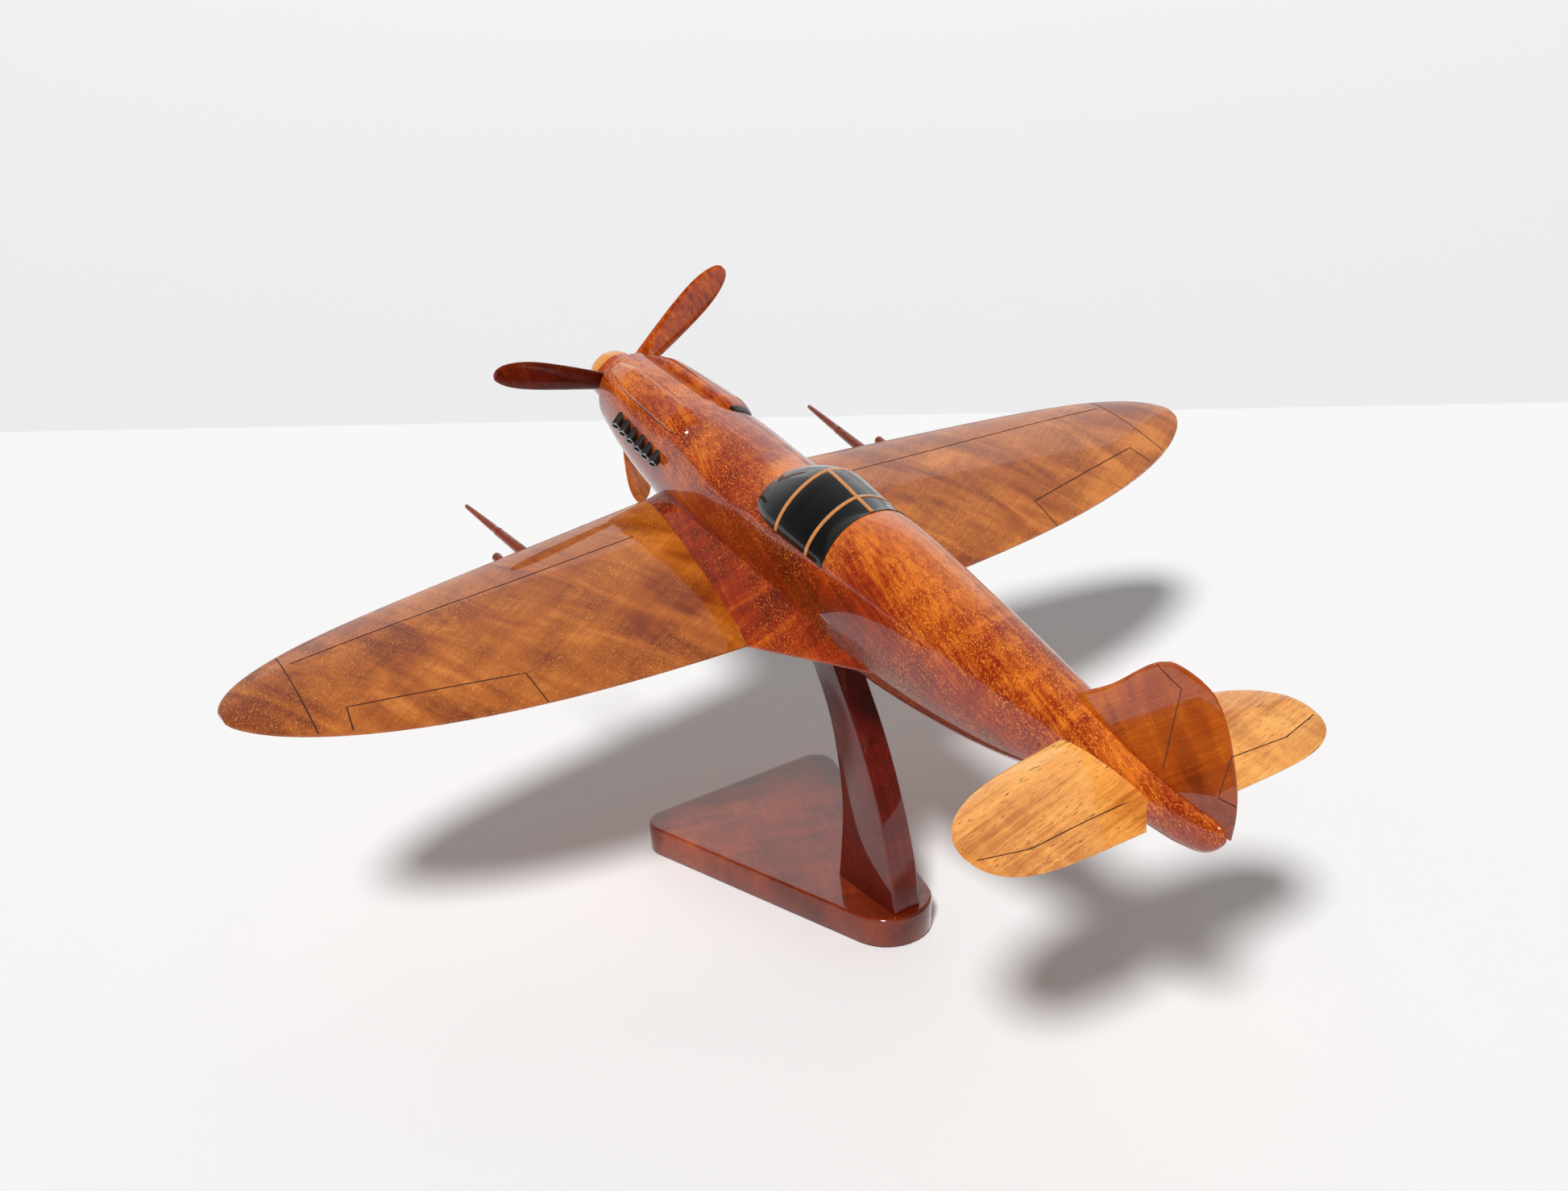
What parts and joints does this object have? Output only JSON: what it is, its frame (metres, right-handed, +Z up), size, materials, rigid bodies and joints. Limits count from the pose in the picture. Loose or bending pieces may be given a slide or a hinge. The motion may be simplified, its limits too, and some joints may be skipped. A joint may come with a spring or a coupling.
{
  "type": "aircraft display model",
  "caption": "Lacquered wooden display model of a low-wing, single-engine fighter aircraft with a turning propeller, lifting off a curved post on a flat base plate.",
  "frame": {"origin": "centre of the felt's underside, on the surface the stand rests on", "axes": "+Z up, -Y towards the aircraft's nose, +X towards its left wing tip; the aircraft is tipped 10.66 degrees nose-up on the post"},
  "size_m": [0.4546, 0.3816, 0.2228],
  "materials": {
    "stand_wood": "clear high-gloss lacquer over dark red-brown stained hardwood",
    "body_wood": "clear high-gloss lacquer over red-brown mahogany",
    "wing_wood": "clear high-gloss lacquer over warm brown mahogany with cross figure",
    "tail_wood": "clear high-gloss lacquer over orange-tan mahogany",
    "fairing_wood": "clear high-gloss lacquer over orange-red mahogany",
    "spinner_wood": "clear high-gloss lacquer over light orange mahogany",
    "blade_wood": "clear high-gloss lacquer over striped mahogany",
    "gun_wood": "gloss lacquer over turned dark wood",
    "dowel_wood": "bare birch dowel, glued",
    "canopy_black": "gloss black lacquer with varnished wood framing",
    "black_paint": "semi-gloss black enamel",
    "felt": "matt pressed felt",
    "steel": "zinc-plated steel",
    "brass": "plain brass"
  },
  "bodies": {
    "stand": {"stand_base": "stand_wood", "stand_post": "stand_wood", "base_felt": "felt", "post_screws": "steel", "post_pins": "steel"},
    "aircraft": {"fuselage": "body_wood", "canopy": "canopy_black", "fin": "tail_wood", "fin_dowels": "dowel_wood", "axle_screw": "steel", "axle_washer": "brass", "nose_washer": "brass", "left_wing": "wing_wood", "right_wing": "wing_wood", "left_root_fairing": "fairing_wood", "right_root_fairing": "fairing_wood", "left_wing_dowels": "dowel_wood", "right_wing_dowels": "dowel_wood", "left_tailplane": "tail_wood", "right_tailplane": "tail_wood", "left_tail_dowel": "dowel_wood", "right_tail_dowel": "dowel_wood", "left_cowl_fairing": "body_wood", "right_cowl_fairing": "body_wood", "left_exhaust_rail": "black_paint", "right_exhaust_rail": "black_paint", "left_exhaust_pipes": "black_paint", "right_exhaust_pipes": "black_paint", "left_cannon": "gun_wood", "right_cannon": "gun_wood", "left_cannon_stub": "gun_wood", "right_cannon_stub": "gun_wood", "left_radiator": "wing_wood", "right_radiator": "wing_wood"},
    "propeller": {"prop_hub": "blade_wood", "spinner_cap": "spinner_wood", "blade_1": "blade_wood", "blade_2": "blade_wood", "blade_3": "blade_wood"}
  },
  "joints": [
    {"name": "lift_off", "type": "slide", "parent": "stand", "child": "aircraft", "axis": [0, 0.185, 0.9827], "range_m": [0, 0.03]},
    {"name": "prop_spin", "type": "hinge", "parent": "aircraft", "child": "propeller", "pos_m": [0, -0.1344, 0.1788], "axis": [0, -0.9827, 0.185], "continuous": true}
  ]
}
